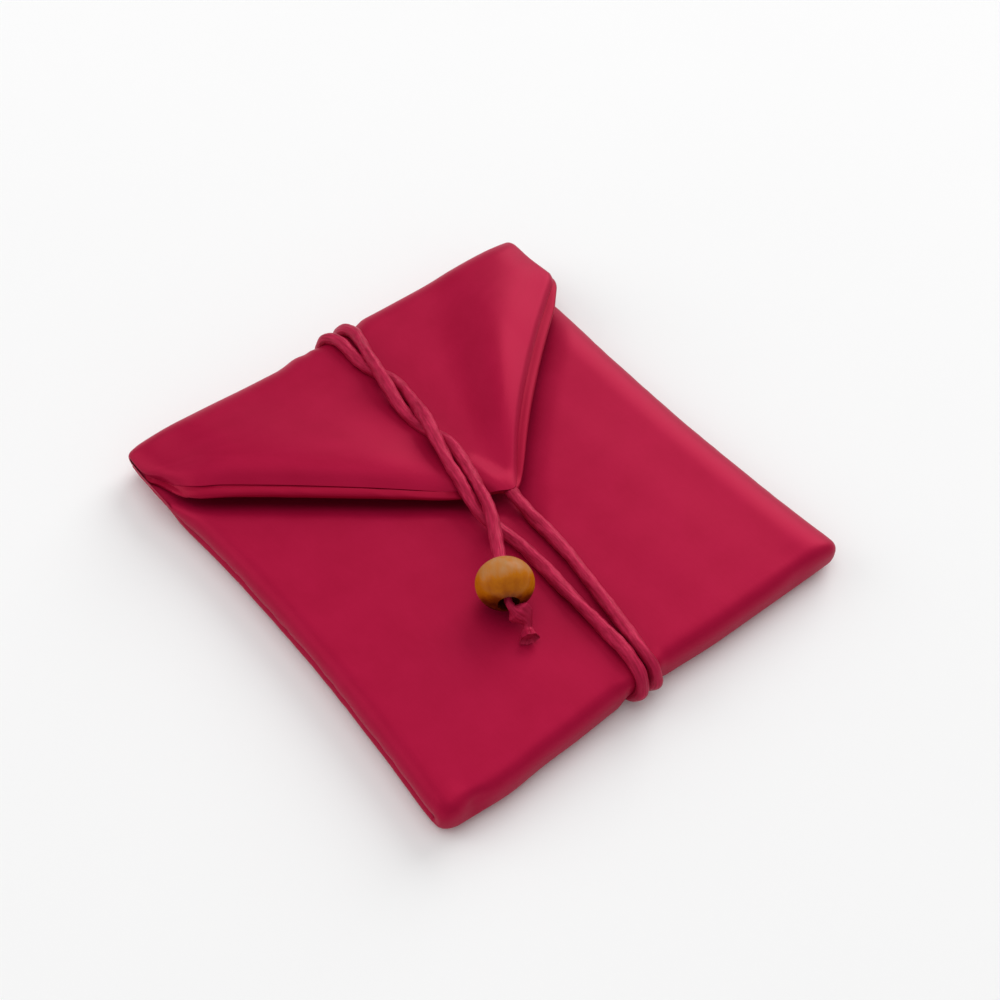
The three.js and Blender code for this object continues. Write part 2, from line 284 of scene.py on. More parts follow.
def hill(value, middle, width):
    return np.exp(-(((value - middle) / width) ** 2))


# Camera at the photograph's viewing angle


def place_camera():
    azimuth, elevation, roll = (math.radians(a) for a in (CAMERA_AZIMUTH, CAMERA_ELEVATION, CAMERA_ROLL))
    level = math.cos(elevation)
    back = Vector((math.sin(azimuth) * level, -math.cos(azimuth) * level, math.sin(elevation)))
    right = Vector((math.cos(azimuth), math.sin(azimuth), 0))
    up = back.cross(right)
    across = right * math.cos(roll) + up * math.sin(roll)
    upright = up * math.cos(roll) - right * math.sin(roll)
    location = (across * CAMERA_ACROSS + upright * CAMERA_UPRIGHT + back * CAMERA_BACK) * MM
    turn = Matrix((across, upright, back)).transposed()
    bpy.ops.object.camera_add(location=location, rotation=turn.to_euler())
    camera = bpy.context.object
    camera.name = "photo_camera"
    camera.data.sensor_width = CAMERA_SENSOR
    camera.data.lens = CAMERA_LENS
    bpy.context.scene.camera = camera


# Cloth grids and tubes: flat primitives whose vertices are laid into place


def grid_piece(name, across, along):
    bpy.ops.object.select_all(action="DESELECT")
    bpy.ops.mesh.primitive_grid_add(x_subdivisions=across, y_subdivisions=along, size=1)
    piece = bpy.context.object
    piece.name = piece.data.name = name
    return piece


def vertex_places(piece):
    places = np.empty(len(piece.data.vertices) * 3)
    piece.data.vertices.foreach_get("co", places)
    return places.reshape(-1, 3)


def grid_cells(piece, across, along):
    """The column and row of each vertex of a grid that hasn't been laid yet."""
    places = vertex_places(piece)
    column = np.rint((places[:, 0] + 0.5) * across).astype(int)
    row = np.rint((places[:, 1] + 0.5) * along).astype(int)
    return column, row


def lay(piece, points):
    piece.data.vertices.foreach_set("co", (points * MM).ravel())
    piece.data.update()


def lay_uv(piece, across, along):
    corners = np.empty(len(piece.data.loops), dtype=np.int32)
    piece.data.loops.foreach_get("vertex_index", corners)
    places = np.stack([across[corners], along[corners]], axis=1)
    piece.data.uv_layers.active.data.foreach_set("uv", places.ravel())


def apply_modifier(piece, kind, **settings):
    modifier = piece.modifiers.new(kind.lower(), kind)
    for name, setting in settings.items():
        setattr(modifier, name, setting)
    bpy.context.view_layer.objects.active = piece
    bpy.ops.object.modifier_apply(modifier=modifier.name)


def running_length(points):
    steps = np.linalg.norm(np.diff(points, axis=0), axis=1)
    return np.concatenate([[0], np.cumsum(steps)])


def smooth_line(points, spacing):
    """A smooth curve through given points, as evenly spaced places and their distances along it."""
    knots = np.array(points, float)
    knots = np.vstack([2 * knots[0] - knots[1], knots, 2 * knots[-1] - knots[-2]])
    steps_between = 24
    fine = []
    for a, b, c, d in zip(knots, knots[1:], knots[2:], knots[3:]):
        t0 = 0.0
        t1 = t0 + np.linalg.norm(b - a) ** 0.5
        t2 = t1 + np.linalg.norm(c - b) ** 0.5
        t3 = t2 + np.linalg.norm(d - c) ** 0.5
        t = np.linspace(t1, t2, steps_between, endpoint=False)[:, None]
        ab = lerp(a, b, (t - t0) / (t1 - t0))
        bc = lerp(b, c, (t - t1) / (t2 - t1))
        cd = lerp(c, d, (t - t2) / (t3 - t2))
        abc = lerp(ab, bc, (t - t0) / (t2 - t0))
        bcd = lerp(bc, cd, (t - t1) / (t3 - t1))
        fine.append(lerp(abc, bcd, (t - t1) / (t2 - t1)))
    fine = np.vstack([*fine, knots[-2:-1]])
    run = running_length(fine)
    at = np.linspace(0, run[-1], int(run[-1] / spacing) + 1)
    return np.stack([np.interp(at, run, fine[:, k]) for k in range(3)], axis=1), at


def tube(name, centres, run, radius, sides, height=1.0, across=None):
    """A closed tube along a line; height squashes it towards its middle, across keeps its side one way."""
    piece = grid_piece(name, sides, len(centres) - 1)
    column, row = grid_cells(piece, sides, len(centres) - 1)
    along = np.gradient(centres, axis=0)
    along /= np.linalg.norm(along, axis=1)[:, None]
    side = np.empty_like(along)
    side[0] = np.cross(along[0], (0, 0, 1))
    for i in range(len(centres)):
        before = side[max(i - 1, 0)] if across is None else across
        side[i] = before - along[i] * (before @ along[i])
        side[i] /= np.linalg.norm(side[i])
    other = np.cross(along, side)
    turn = column * (2 * math.pi / sides)
    reach = radius(turn, run[row])[:, None]
    offset = reach * (np.cos(turn)[:, None] * side[row] + np.sin(turn)[:, None] * other[row])
    offset[:, 2] *= np.broadcast_to(height, len(centres))[row]
    lay(piece, centres[row] + offset)
    lay_uv(piece, column / sides, run[row] / UV_UNIT)
    bpy.ops.object.mode_set(mode="EDIT")
    bpy.ops.mesh.select_all(action="SELECT")
    bpy.ops.mesh.remove_doubles(threshold=0.01 * MM)
    bpy.ops.mesh.fill_holes(sides=0)
    bpy.ops.mesh.normals_make_consistent(inside=False)
    bpy.ops.object.mode_set(mode="OBJECT")
    bpy.ops.object.shade_smooth_by_angle(angle=math.radians(50))
    return piece


# Tie cord: twice round the pouch, its strands crossing on the flap and once beneath


def round_fold(x, to_x, middle_y, reach, low, high, upwards):
    """Half a turn round a fold, reaching out from middle_y, from low to high or back."""
    steps = 4
    points = []
    for i in range(steps + 1):
        turn = (steps - i if upwards else i) * math.pi / steps
        z = (low + high) / 2 + (high - low) / 2 * math.cos(turn)
        points.append((lerp(x, to_x, i / steps), middle_y + reach * math.sin(turn), z))
    return points


def along_bore(distance):
    return tuple(BEAD + BORE_WAY * distance)


def cord_route():
    front, flap, under = CORD_ON_FRONT, CORD_ON_FLAP, CORD_UNDER
    return [
        # From under the flap's tip down the front
        (5.0, 1.0, 8.7), (4.7, -1.6, 9.0), (4.2, -4.2, 9.6), (3.8, -6.8, 10), (3.4, -11, front),
        (3.2, -22, front), (1.9, -32, front), (0.7, -41, front),
        # Round the bottom and beneath, the lower strand where the two cross
        *round_fold(-0.3, -1.2, *BOTTOM_LOOP, under, front, False),
        (-0.6, -36, under), (0.1, -18, under), (0.2, -8, 1.4), (-0.6, -3, 1.05), (-1.5, 2, 0.9),
        (-2.4, 7, 1.05), (-3.3, 12, 1.4), (-4.0, 24, under), (-4.2, 36, under),
        # Round the top fold and down over the flap to the front
        *round_fold(-3.8, -0.8, *TOP_LOOP, under, flap, True),
        (-0.7, 43, flap), (-0.6, 39.7, flap - 0.1), (0.0, 36.6, flap - 0.3), (1.2, 33.5, flap - 0.3),
        (2.0, 30.4, flap - 0.2), (1.9, 27, flap), (1.1, 23.4, 13.1), (0.3, 19.9, 14.1), (-0.6, 16.4, 14.4),
        (-1.5, 12.8, 14.1), (-2.3, 9.2, 13.3), (-3.1, 5.6, 12.8), (-3.8, 2, 12.7), (-4.5, -1.5, 12.2),
        (-4.9, -4.6, 11.6), (-4.8, -6.9, 11.1), (-4.2, -9.2, 10.6), (-3.5, -11.6, 10.2), (-3.0, -14.5, front),
        (-2.7, -20, front), (-2.8, -29, front), (-2.9, -38, front),
        # Round the bottom and beneath again, the upper strand where the two cross
        *round_fold(-3.1, -5.0, *BOTTOM_LOOP, under, front, False),
        (-4.6, -36, under), (-4.4, -18, under), (-3.6, -8, 1.6), (-2.5, -3, 2.2), (-1.5, 2, 2.4),
        (-0.6, 7, 2.2), (0.3, 12, 1.6), (0.6, 24, under), (0.5, 36, under),
        # Round the top fold again, over the flap and into the bead
        *round_fold(0.4, 3.2, *TOP_LOOP, under, flap, True),
        (2.6, 43.4, 12.8), (1.4, 39.6, 13.6), (0.4, 36, 14.3), (-0.4, 32.2, 14.3), (-1.0, 28.6, 13.6),
        (-1.4, 25.2, 12.8), (-1.5, 22.1, 12.3), (-1.2, 19.2, 12.1), (-0.6, 16.5, 12.0), (0.1, 13.9, 12.1),
        (0.6, 11.1, flap), (0.3, 8.0, flap), (-0.3, 4.6, 12.5), (-1.2, 1, 12.7), (-2.3, -2.6, 13.1),
        (-3.5, -5.9, 13.8), along_bore(16.3), along_bore(13), along_bore(6.5), along_bore(0),
        along_bore(CORD_END_IN_BEAD - BEAD_LENGTH / 2),
    ]


# The cord is a little flat and unevenly pinched, narrow where it is sewn in and spread by the flap's tip
def cord_radius(turn, run):
    flat = 0.12 * np.cos(2 * turn + 0.3 * run) * (0.65 + 0.35 * np.sin(run * 0.13))
    long_pinch = 0.035 * np.sin(run * 0.9 + 3 * turn)
    short_pinch = 0.03 * np.sin(run * 2.1 - 2 * turn + 2 * np.sin(run * 0.31))
    sewn = 0.45 + 0.55 * smoothstep(run, -0.5, 2.5)
    spread = 1 + 0.18 * hill(run, TIP_SQUASH_AT, TIP_SQUASH_REACH) * np.cos(turn) ** 2
    return CORD / 2 * (1 + flat + long_pinch + short_pinch) * sewn * spread


def make_cord():
    centres, run = smooth_line(cord_route(), spacing=0.5)
    end = run[-1]
    beneath = centres[:, 2] < FRONT_TOP / 2
    crossed = np.where(beneath, hill(centres[:, 1], CROSSING_Y, CROSSING_REACH), 0)
    centres[:, 2] = np.maximum(centres[:, 2], CORD_UNDER - CROSSING_DROP * crossed)

    def radius(turn, at):
        return cord_radius(turn, at) * (1 - CORD_END_NARROWING * smoothstep(at, end - CORD_END_TAPER, end))

    height = 1 - CROSSING_SQUASH * crossed - TIP_SQUASH * hill(run, TIP_SQUASH_AT, TIP_SQUASH_REACH)
    piece = tube("tie_cord_satin", centres, run, radius, sides=24, height=height)
    return piece, centres, end


# Stopper knot: a gathered fan below the bead, and its flared, cut tail


def make_knot():
    onwards = -BORE_WAY
    aside = Vector((BORE_WAY.y, -BORE_WAY.x, 0))
    up = Vector((0, 0, 1))
    start = BEAD + onwards * (BEAD_LENGTH / 2)
    # Distances from the bead's lower face: onwards, aside and up
    route = [
        (-2.4, 0, 0), (-1.5, 0, -0.15), (-0.7, 0.1, -0.5), (0.2, 0.6, -1.0), (0.7, 1.5, -1.7),
        (1.3, 2.6, -2.6), (2.2, 3.3, -3.6), (3.0, 3.3, -4.2), (3.8, 3.2, -4.4), (4.7, 3.2, -4.3),
        (5.4, 3.2, -4.2),
    ]
    points = [tuple(start + onwards * a + aside * b + up * c) for a, b, c in route]
    centres, run = smooth_line(points, spacing=0.15)
    end = run[-1]
    waist = end - TAIL_LENGTH

    def radius(turn, at):
        fan = smoothstep(at, *FAN_OPENS) * (1 - smoothstep(at, FAN_CLOSES, waist))
        tail = np.clip((at - waist) / (end - waist), 0, 1)
        wide = KNOT_NECK + FAN_WIDE * fan + TAIL_WIDE * tail
        thick = KNOT_NECK + FAN_THICK * fan + TAIL_THICK * tail
        gathers = 0.07 * np.sin(7 * turn + 0.4 * at) * np.maximum(fan, tail)
        uneven = 0.03 * np.sin(3 * turn - 2 * at)
        return (1 + gathers + uneven) / np.hypot(np.cos(turn) / wide, np.sin(turn) / thick)

    fan_way = np.array(aside * 0.92 + up * 0.4)
    piece = tube("stopper_knot_satin", centres, run, radius, sides=32, across=fan_way)
    hollow_end(piece, Vector(centres[-1]), Vector(centres[-2]))
    return piece


# The tail's cut end, hollowed a little: of the faces with the most corners, it is the one at the end
def hollow_end(piece, end, before):
    inwards = (before - end).normalized()

    def likeness(face):
        return (face.center - end * MM).length - len(face.vertices)

    cut_face = min(piece.data.polygons, key=likeness).index
    bpy.ops.object.mode_set(mode="EDIT")
    bpy.ops.mesh.select_all(action="DESELECT")
    bpy.ops.object.mode_set(mode="OBJECT")
    piece.data.polygons[cut_face].select = True
    bpy.ops.object.mode_set(mode="EDIT")
    bpy.ops.mesh.inset(thickness=TAIL_RIM * MM)
    bpy.ops.transform.translate(value=tuple(inwards * (TAIL_HOLLOW * MM)))
    bpy.ops.object.mode_set(mode="OBJECT")


# Pouch: one strip of cloth folded into flap, fold, back, bottom and front


class Stations:
    """The places across the strip, from the left side seam to the right one."""

    def __init__(self, middle_columns, roll_columns):
        steps = np.linspace(0, 1, roll_columns + 1)[1:]
        flat = np.linspace(LEFT_ROLL - HALF_WIDTH, HALF_WIDTH - RIGHT_ROLL, middle_columns + 1)
        self.angle = np.concatenate([-LEFT_SEAM * steps[::-1], np.zeros(len(flat)), RIGHT_SEAM * steps])
        turn = np.abs(self.angle)
        side = np.sign(self.angle)
        left = self.angle < 0
        roll = np.where(left, LEFT_ROLL, RIGHT_ROLL)
        seam = np.where(left, LEFT_SEAM, RIGHT_SEAM)
        middle = np.concatenate([np.zeros(roll_columns), flat, np.zeros(roll_columns)])
        tucked = HALF_WIDTH - SEAM_TUCK * (1 - np.sin(turn))
        bulge = np.where(turn < math.pi / 2, HALF_WIDTH - roll * (1 - np.sin(turn)), tucked)
        self.sewn_x = middle + side * bulge
        self.free_x = middle + side * (HALF_WIDTH - roll * (1 - np.sin(turn * (math.pi / 2) / seam)))
        self.rise = (np.cos(turn) - np.cos(seam)) / (1 - np.cos(seam))
        self.cloth = middle + side * (HALF_WIDTH - roll + roll * ROLL_EASE * turn)


# The cord's channel under the pouch leans a little to the right towards the fold
def channel_rise(x, y):
    middle = CHANNEL_X + CHANNEL_LEAN * y
    return 1 - smoothstep(np.abs(x - middle) - CHANNEL_FLAT / 2, 0, CHANNEL_SLOPE)


def cord_pull(x, middle, reach):
    return 1 - smoothstep(np.abs(x - middle), CORDS_HALF_WIDTH, reach)


def corner_inset(free_x, radius):
    along = np.clip((np.abs(free_x) - HALF_WIDTH) / radius + 1, 0, 1)
    return radius * (1 - np.sqrt(1 - along * along))


# The sides are drawn in between the corners, and the left one swells by the flap's shoulder
def side_taper(x, y):
    left_hollow = LEFT_PULL * (1 - ((y - LEFT_HOLLOW_Y) / LEFT_HOLLOW_HALF) ** 2)
    right_hollow = RIGHT_PULL * (1 - ((y - RIGHT_HOLLOW_Y) / RIGHT_HOLLOW_HALF) ** 2)
    left = np.maximum(left_hollow, LEFT_INSET) - LEFT_SWELL * hill(y, LEFT_SWELL_Y, LEFT_SWELL_WIDTH)
    right = lerp(right_hollow, FLAP_INSET, smoothstep(y, *RIGHT_HOLLOW_ENDS))
    return 1 - np.where(x < 0, left, right) / HALF_WIDTH


# The flap's left side is drawn in towards its shoulder
def flap_taper(x, y):
    left = lerp(FLAP_LEFT_PULL, LEFT_INSET, smoothstep(y, *FLAP_PULL_ENDS))
    return 1 - np.where(x < 0, left, FLAP_INSET) / HALF_WIDTH


# The flap's outline, from its rounded tip to its shoulders; the right edge bows in
def flap_edge(x):
    right = x > FLAP_TIP[0]
    shoulder = HALF_LENGTH - np.where(right, SHOULDER_RIGHT, SHOULDER_LEFT)
    bow = np.where(right, RIGHT_BOW, 1.0)
    reach = np.hypot(HALF_WIDTH - FLAP_TIP[0] * np.where(right, 1, -1), TIP_ROUND) - TIP_ROUND
    out = (np.hypot(x - FLAP_TIP[0], TIP_ROUND) - TIP_ROUND) / reach
    corner = corner_inset(x, np.where(right, RIGHT_ROUND, LEFT_ROUND))
    return lerp(FLAP_TIP[1], shoulder, np.minimum(out, 1) ** bow) + corner


# The left half stands off most just behind its edge, less at the shoulder and not at all at the tip
def left_lift(x, off):
    by_tip = 1 - hill(x, FLAP_TIP[0], LEFT_TIP_REACH)
    by_shoulder = 1 - LEFT_SHOULDER_LOSS * (np.abs(x) / HALF_WIDTH) ** 5
    by_edge = 1 - LEFT_EDGE_LOSS * hill(off, 0, LEFT_EDGE_REACH)
    return LEFT_LIFT * hill(off, 0, LEFT_LIFT_REACH) * by_tip * (by_shoulder * by_edge)


# The right half has a crest that runs away from its edge towards the shoulder
def right_lift(x, off):
    crest = np.clip(CREST_OFF + CREST_LEAN * (x - CREST_X), *CREST_RANGE)
    back_slope = np.clip(CREST_BACK + CREST_BACK_LEAN * x, *CREST_BACK_RANGE)
    slope = np.where(off < crest, CREST_FRONT * crest, back_slope)
    by_tip = 1 - hill(x, FLAP_TIP[0], RIGHT_TIP_REACH)
    by_shoulder = 1 - (np.abs(x) / HALF_WIDTH) ** 4
    return RIGHT_LIFT * hill(off, crest, slope) * by_tip * by_shoulder


# A crease beside the tip, past which the cloth rises to the edge
def tip_facet(x, y):
    past_crease = (x - CREASE[0]) * CREASE_WAY[0] + (y - CREASE[1]) * CREASE_WAY[1]
    from_left = smoothstep(x, *FACET_FROM_LEFT)
    from_top = smoothstep(-y, *FACET_FROM_TOP)
    return FACET_SLOPE * np.maximum(past_crease, 0) * from_left * from_top


# How far the flap stands off the front, by place and distance from its slanting edge
def flap_lift(x, y):
    off = np.maximum(y - flap_edge(x), 0) * FLAP_SLANT
    return np.where(x > FLAP_TIP[0], right_lift(x, off), left_lift(x, off)) + tip_facet(x, y)


# The flap comes down towards the back at the two ends of the fold
def fold_end_drop(x, y):
    left = LEFT_END_DROP * smoothstep(-x, *LEFT_END) ** 1.2 * smoothstep(y, *LEFT_END_DROPS)
    right = RIGHT_END_DROP * smoothstep(x, *RIGHT_END) ** 1.5 * smoothstep(y, *RIGHT_END_DROPS)
    return left + right


# The facing stands out along both edges of the flap, less at the right shoulder, and is tucked in at the tip
def facing_reach(x):
    by_tip = 1 - FACING_TUCK * hill(x, FACING_TUCK_X, FACING_TUCK_WIDTH)
    by_shoulder = 1 - FACING_SHOULDER_LOSS * smoothstep(x, *FACING_SHOULDER)
    return lerp(1, FACING_RIGHT_GAIN, smoothstep(x, *FACING_SIDES)) * by_shoulder * by_tip


# Slow unevenness of the padding
def ripple(x, y):
    broad = np.sin(0.16 * x + 0.09 * y + 1.3) * np.sin(0.13 * y - 0.05 * x + 0.4)
    small = np.sin(0.31 * x - 0.22 * y) * np.sin(0.27 * y + 0.19 * x + 2.1)
    return 0.07 * broad + 0.04 * small


def bottom_dents(x):
    return sum(depth * hill(x, middle, width) for middle, width, depth in BOTTOM_DENTS)


def seam_pucker(y):
    return PUCKER * np.sin(0.9 * y + 1.7 * np.sin(0.37 * y)) + PUCKER * np.sin(0.23 * y + 1)


def flap_top(x, y):
    droop = 1 - np.sqrt(1 - np.clip((np.abs(x) - HALF_WIDTH + FLAP_ROLL) / FLAP_ROLL, 0, 1) ** 2)
    return FLAP_TOP + flap_lift(x, y) - FLAP_DROOP * droop - fold_end_drop(x, y) + ripple(x + 40, y)


# The front is fullest in the middle of each half, and sinks under the flap and at the bottom's dents
def front_top(x, y):
    crown = sum(height * hill(x, *across) * hill(y, *along) for across, along, height in FRONT_CROWNS)
    before_edge = np.where(x < 4, *SINK_STARTS)
    under_flap = np.where(x < 0, *SINKS) * smoothstep(y - flap_edge(x), before_edge, SINK_ENDS)
    dents = FRONT_DENT_SHARE * bottom_dents(x) * smoothstep(-y, *DENTS_REACH_FRONT)
    return FRONT_TOP + crown + ripple(x, y) - under_flap - dents


class Strip:
    """One layer of the folded strip, measured in from the pouch's outer face, as rows of points."""

    def __init__(self, stations, depth, proud, rows, free_back_rows):
        self.stations = stations
        self.depth = depth
        self.proud = proud
        self.inset = depth * SIDE_INSET
        self.deep_inset = depth * SEAM_INSET
        self.tucked_x = stations.free_x * (1 - self.inset / HALF_WIDTH)
        self.sewn_x = stations.sewn_x * (1 - self.deep_inset / HALF_WIDTH)
        self.fold_row = len(EDGE_ROWS) + rows["flap"]
        self.free_row = self.fold_row + rows["fold"] + free_back_rows
        stretches = {
            "flap": self.flap_points,
            "fold": self.fold_points,
            "back": self.back_points,
            "bottom": self.bottom_points,
            "front": self.front_points,
        }
        laid = [self.flap_at(self.flap_start() + off) for off in EDGE_ROWS]
        for name, count in rows.items():
            laid += [stretches[name](t) for t in np.linspace(0, 1, count + 1)[1:]]
        self.points = np.array(laid).transpose(0, 2, 1)

    def flap_start(self):
        free_x = self.stations.free_x
        return flap_edge(free_x) - self.proud * facing_reach(free_x)

    def flap_at(self, y):
        free_x = self.stations.free_x
        proud = np.where(free_x < 0, min(self.proud, FACING_LEFT), min(self.proud, FACING_RIGHT))
        reach = lerp(proud, -self.inset, smoothstep(y, *FACING_ENDS))
        x = free_x * (1 + reach / HALF_WIDTH)
        taper = lerp(flap_taper(x, y), side_taper(x, y), smoothstep(y, *FLAP_JOINS_SIDE))
        return x * taper, y, flap_top(x, y) - self.depth

    def flap_points(self, t):
        fold_y = self.top_fold(self.tucked_x)[0]
        return self.flap_at(lerp(self.flap_start() + EDGE_ROWS[-1], fold_y, t))

    def fold_points(self, t):
        x = self.tucked_x
        fold_y, middle, radius = self.top_fold(x)
        y = fold_y + radius * np.sin(math.pi * t)
        z = middle + radius * np.cos(math.pi * t)
        return x * side_taper(x, y), y, z

    def back_points(self, t):
        y = lerp(self.top_fold(self.tucked_x)[0], self.bottom_fold(self.sewn_x)[0], t)
        x = self.wall_x(y)
        return x * side_taper(x, y), y, self.back_height(x, y)

    def bottom_points(self, t):
        x = self.sewn_x
        fold_y, middle, radius = self.bottom_fold(x)
        turn = math.pi * t
        out = math.sin(turn) ** BOTTOM_SQUARENESS
        level = math.copysign(abs(math.cos(turn)) ** BOTTOM_SQUARENESS, math.cos(turn))
        dent = bottom_dents(x) * self.stations.rise * out**2 * float(smoothstep(t, 0.35, 0.65))
        y = fold_y - radius * out + dent
        z = middle - radius * level
        return x * side_taper(x, y), y, z

    def front_points(self, t):
        mouth = MOUTH_Y + MOUTH_SIDE_RISE * smoothstep(np.abs(self.stations.free_x), *MOUTH_RISES)
        y = lerp(self.bottom_fold(self.sewn_x)[0], mouth, t)
        x = self.wall_x(y)
        return x * side_taper(x, y), y, self.front_height(x, y)

    def wall_x(self, y):
        """Across the back or front: puckered at the sewn seams, and loose near the mouth."""
        across = self.stations
        pucker = np.sign(across.angle) * (1 - across.rise) ** 2
        loose = smoothstep(y, MOUTH_Y - SEAM_RELEASE, MOUTH_Y)
        loose_inset = lerp(self.deep_inset, self.inset, smoothstep(y, *SEAM_JOINS_FOLD))
        loose_x = across.free_x * (1 - loose_inset / HALF_WIDTH)
        return lerp(self.sewn_x + pucker * seam_pucker(y), loose_x, loose)

    def seam_height(self, x, y):
        lifted = smoothstep(y, *SEAM_LIFTS) * (1 - SEAM_LIFT_LOSS * smoothstep(y, *SEAM_SETTLES))
        lift = np.where(x < 0, LEFT_SEAM_LIFT, RIGHT_SEAM_LIFT) * lifted
        return SEAM_HEIGHT + self.depth * SEAM_RISE + lift

    def front_height(self, x, y):
        return lerp(self.seam_height(x, y), front_top(x, y) - self.depth, self.stations.rise)

    def back_height(self, x, y):
        flat = lerp(self.seam_height(x, y), self.depth, self.stations.rise)
        return flat + CHANNEL_DEPTH * channel_rise(x, y)

    def top_fold(self, x):
        """Where the top fold's half round starts, the height of its middle, and its radius."""
        corner = corner_inset(self.stations.free_x, FOLD_CORNER)
        slack = TOP_SLACK * smoothstep(-x, *SLACK_STARTS) * (1 - smoothstep(-x, *SLACK_ENDS))
        pull = TOP_PULL * cord_pull(x, TOP_PULL_X, TOP_PULL_REACH)
        end = HALF_LENGTH - self.depth - corner - pull - slack
        back = self.back_height(x, np.full_like(x, HALF_LENGTH))
        radius = np.full_like(x, 4.0)
        for _ in range(3):
            radius = (flap_top(x, end - radius) - self.depth - back) / 2
        return end - radius, back + radius, radius

    def bottom_fold(self, x):
        """The same for the bottom fold."""
        corner = corner_inset(self.stations.free_x, BOTTOM_CORNER)
        pull = BOTTOM_PULL * cord_pull(x, BOTTOM_PULL_X, BOTTOM_PULL_REACH)
        bulge = BOTTOM_BULGE * hill(x, BOTTOM_BULGE_X, BOTTOM_BULGE_WIDTH)
        end = -HALF_LENGTH + self.depth + corner + pull - bulge
        back = self.back_height(x, np.full_like(x, -HALF_LENGTH))
        front = self.front_height(x, np.full_like(x, -HALF_LENGTH))
        radius = (front - back) / 2
        return end + radius, back + radius, radius


# On the flap, the fold and the start of the back, thickness is measured in the plane of the bend
def layer_normals(points, free_row):
    along = np.gradient(points, axis=0)
    across = np.gradient(points, axis=1)
    normal = np.cross(across, along)
    normal /= np.maximum(np.linalg.norm(normal, axis=2), 1e-9)[:, :, None]
    bend = np.stack([np.zeros_like(along[:, :, 0]), -along[:, :, 2], along[:, :, 1]], axis=2)
    bend /= np.maximum(np.linalg.norm(bend, axis=2), 1e-9)[:, :, None]
    sewn = smoothstep(np.arange(len(points)), free_row, free_row + SEWN_ROWS)[:, None, None]
    normal = lerp(bend, normal, sewn)
    size = np.linalg.norm(normal, axis=2)[:, :, None]
    aside = np.sign(points[:, :, :1]) * np.array([1.0, 0.0, 0.0])
    return np.where(size > 1e-6, normal / np.maximum(size, 1e-6), aside)


def make_layer(name, strip, thickness, drop):
    """A closed layer: the strip's outer face, dropped at its free edges, and an inner face behind it."""
    rows, columns = strip.points.shape[:2]
    normals = layer_normals(strip.points, strip.free_row)
    outer = strip.points - normals * drop[:, :, None]
    inner = outer - normals * thickness[:, :, None]
    piece = grid_piece(name, columns - 1, rows - 1)
    flat_thickness = 0.1
    apply_modifier(piece, "SOLIDIFY", thickness=flat_thickness, offset=-1)
    column, row = grid_cells(piece, columns - 1, rows - 1)
    behind = vertex_places(piece)[:, 2] < -flat_thickness / 2
    lay(piece, np.where(behind[:, None], inner[row, column], outer[row, column]))
    run = running_length(strip.points[:, columns // 2])
    lay_uv(piece, strip.stations.cloth[column] / UV_UNIT, run[row] / UV_UNIT)
    bpy.ops.object.mode_set(mode="EDIT")
    bpy.ops.mesh.select_all(action="SELECT")
    bpy.ops.mesh.remove_doubles(threshold=0.001 * MM)
    bpy.ops.mesh.normals_make_consistent(inside=False)
    bpy.ops.object.mode_set(mode="OBJECT")
    bpy.ops.object.shade_smooth_by_angle(angle=math.radians(40))
    return piece


def edge_distance(strip):
    """How far each point is from the nearest free edge: the flap's, or a side where it isn't sewn."""
    x, y = strip.points[:, :, 0], strip.points[:, :, 1]
    rows = np.arange(len(strip.points))[:, None]
    edge = strip.points[0, :, 1][None, :]
    to_edge = np.where(rows <= strip.fold_row, (y - edge) * FLAP_SLANT, NO_EDGE)
    free_half = np.abs(strip.points[:, -1, 0])[:, None]
    to_side = np.where(rows <= strip.free_row, free_half - np.abs(x), NO_EDGE)
    return np.maximum(np.minimum(to_edge, to_side), 0)


def rolled(distance, width):
    short = 1 - np.minimum(distance, width) / width
    return 1 - np.sqrt(1 - short * short)


# The shell's free edge slopes down to the facing, in a wider band on the left
def make_shell():
    stations = Stations(MIDDLE_COLUMNS, SHELL_ROLL_COLUMNS)
    strip = Strip(stations, depth=0.0, proud=0.0, rows=SHELL_ROWS, free_back_rows=SHELL_FREE_BACK_ROWS)
    distance = edge_distance(strip)
    right = smoothstep(strip.points[:, :, 0], *EDGE_SIDES)
    width = lerp(*SHELL_EDGE_WIDTHS, right)
    drop = lerp(*SHELL_EDGE_DROPS, right) * (1 - np.minimum(distance, width) / width) ** SHELL_EDGE_CURVE
    sewn = np.ones((len(strip.points), 1)) * smoothstep(stations.rise, *SEAM_THINS)
    free_wall = WALL - FLAP_EASE - drop
    sewn_wall = lerp(SEAM_WALL, WALL - POCKET_EASE, sewn)
    thickness = np.where(distance < HALF_WIDTH, free_wall, sewn_wall)
    return make_layer("pouch_shell", strip, thickness, drop)


